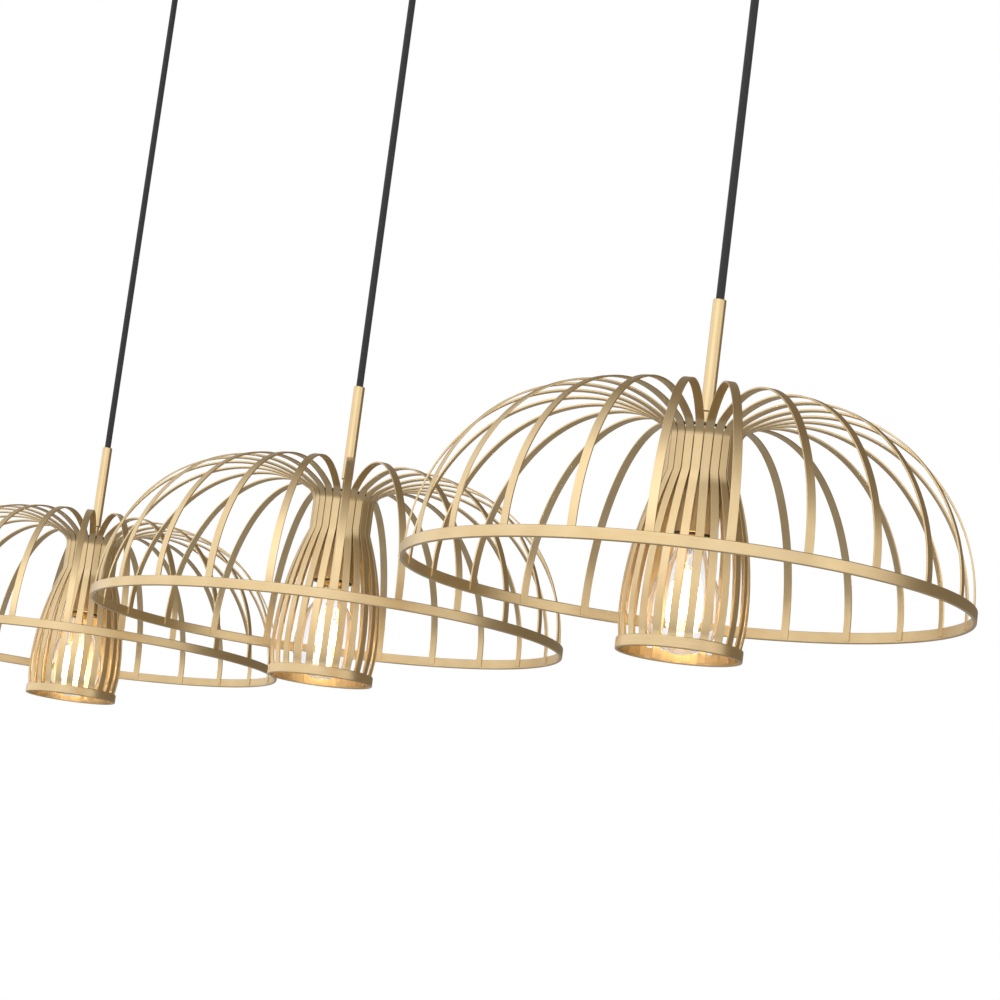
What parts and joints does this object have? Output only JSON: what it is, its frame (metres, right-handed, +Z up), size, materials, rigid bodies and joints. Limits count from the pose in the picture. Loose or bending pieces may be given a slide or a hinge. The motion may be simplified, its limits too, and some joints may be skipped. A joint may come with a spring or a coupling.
{
  "type": "linear island pendant",
  "caption": "Row of domed open-cage pendant shades on black cords below one long ceiling canopy, each with a clear bulb in an inner barrel cage.",
  "frame": {"origin": "middle of the canopy on the ceiling plane, on the crossbar's upper face", "axes": "+Z up out of the ceiling face, +X along the row of shades"},
  "size_m": [1.6971, 0.4572, 0.98],
  "materials": {
    "gold_finish": "brushed champagne gold",
    "plain_steel": "zinc plated",
    "plain_brass": "rolled",
    "insulator": "moulded",
    "black_cord": "braided",
    "clear_glass": "clear",
    "filament": "warm coated rods"
  },
  "bodies": {
    "canopy": {"canopy_tray": "gold_finish", "crossbar": "plain_steel", "canopy_posts": "plain_steel", "cap_nuts": "gold_finish", "ground_screw": "plain_steel", "grip_nuts": "plain_steel", "cord_grip_a": "gold_finish", "cord_grip_b": "gold_finish", "cord_grip_c": "gold_finish"},
    "swivel_a": {"swivel_ring_a": "plain_steel"},
    "hanger_a": {"cord_a": "black_cord", "cord_crimps_a": "plain_steel"},
    "shade_a": {"tube_a": "gold_finish", "stem_a": "gold_finish", "stem_nuts_a": "gold_finish", "collar_a": "gold_finish", "neck_ring_a": "gold_finish", "ribs_a": "gold_finish", "hoop_a": "gold_finish", "bottom_ring_a": "gold_finish", "socket_cup_a": "gold_finish", "socket_holder_a": "insulator", "socket_shell_a": "plain_brass"},
    "bulb_a": {"bulb_glass_a": "clear_glass", "bulb_base_a": "plain_brass", "filament_a": "filament"},
    "swivel_b": {"swivel_ring_b": "plain_steel"},
    "hanger_b": {"cord_b": "black_cord", "cord_crimps_b": "plain_steel"},
    "shade_b": {"tube_b": "gold_finish", "stem_b": "gold_finish", "stem_nuts_b": "gold_finish", "collar_b": "gold_finish", "neck_ring_b": "gold_finish", "ribs_b": "gold_finish", "hoop_b": "gold_finish", "bottom_ring_b": "gold_finish", "socket_cup_b": "gold_finish", "socket_holder_b": "insulator", "socket_shell_b": "plain_brass"},
    "bulb_b": {"bulb_glass_b": "clear_glass", "bulb_base_b": "plain_brass", "filament_b": "filament"},
    "swivel_c": {"swivel_ring_c": "plain_steel"},
    "hanger_c": {"cord_c": "black_cord", "cord_crimps_c": "plain_steel"},
    "shade_c": {"tube_c": "gold_finish", "stem_c": "gold_finish", "stem_nuts_c": "gold_finish", "collar_c": "gold_finish", "neck_ring_c": "gold_finish", "ribs_c": "gold_finish", "hoop_c": "gold_finish", "bottom_ring_c": "gold_finish", "socket_cup_c": "gold_finish", "socket_holder_c": "insulator", "socket_shell_c": "plain_brass"},
    "bulb_c": {"bulb_glass_c": "clear_glass", "bulb_base_c": "plain_brass", "filament_c": "filament"}
  },
  "joints": [
    {"name": "front_swing_a", "type": "hinge", "parent": "canopy", "child": "swivel_a", "pos_m": [0.62, 0, -0.022], "axis": [1, 0, 0], "range_deg": [-15, 15]},
    {"name": "side_swing_a", "type": "hinge", "parent": "swivel_a", "child": "hanger_a", "pos_m": [0.62, 0, -0.022], "axis": [0, 1, 0], "range_deg": [-15, 5]},
    {"name": "twist_a", "type": "hinge", "parent": "hanger_a", "child": "shade_a", "pos_m": [0.62, 0, -0.735], "axis": [0, 0, 1], "range_deg": [-180, 180]},
    {"name": "bulb_out_a", "type": "slide", "parent": "shade_a", "child": "bulb_a", "axis": [0, 0, -1], "range_m": [0, 0.13]},
    {"name": "front_swing_b", "type": "hinge", "parent": "canopy", "child": "swivel_b", "pos_m": [0, 0, -0.022], "axis": [1, 0, 0], "range_deg": [-15, 15]},
    {"name": "side_swing_b", "type": "hinge", "parent": "swivel_b", "child": "hanger_b", "pos_m": [0, 0, -0.022], "axis": [0, 1, 0], "range_deg": [-5, 5]},
    {"name": "twist_b", "type": "hinge", "parent": "hanger_b", "child": "shade_b", "pos_m": [0, 0, -0.735], "axis": [0, 0, 1], "range_deg": [-180, 180]},
    {"name": "bulb_out_b", "type": "slide", "parent": "shade_b", "child": "bulb_b", "axis": [0, 0, -1], "range_m": [0, 0.13]},
    {"name": "front_swing_c", "type": "hinge", "parent": "canopy", "child": "swivel_c", "pos_m": [-0.62, 0, -0.022], "axis": [1, 0, 0], "range_deg": [-15, 15]},
    {"name": "side_swing_c", "type": "hinge", "parent": "swivel_c", "child": "hanger_c", "pos_m": [-0.62, 0, -0.022], "axis": [0, 1, 0], "range_deg": [-5, 15]},
    {"name": "twist_c", "type": "hinge", "parent": "hanger_c", "child": "shade_c", "pos_m": [-0.62, 0, -0.735], "axis": [0, 0, 1], "range_deg": [-180, 180]},
    {"name": "bulb_out_c", "type": "slide", "parent": "shade_c", "child": "bulb_c", "axis": [0, 0, -1], "range_m": [0, 0.13]}
  ]
}
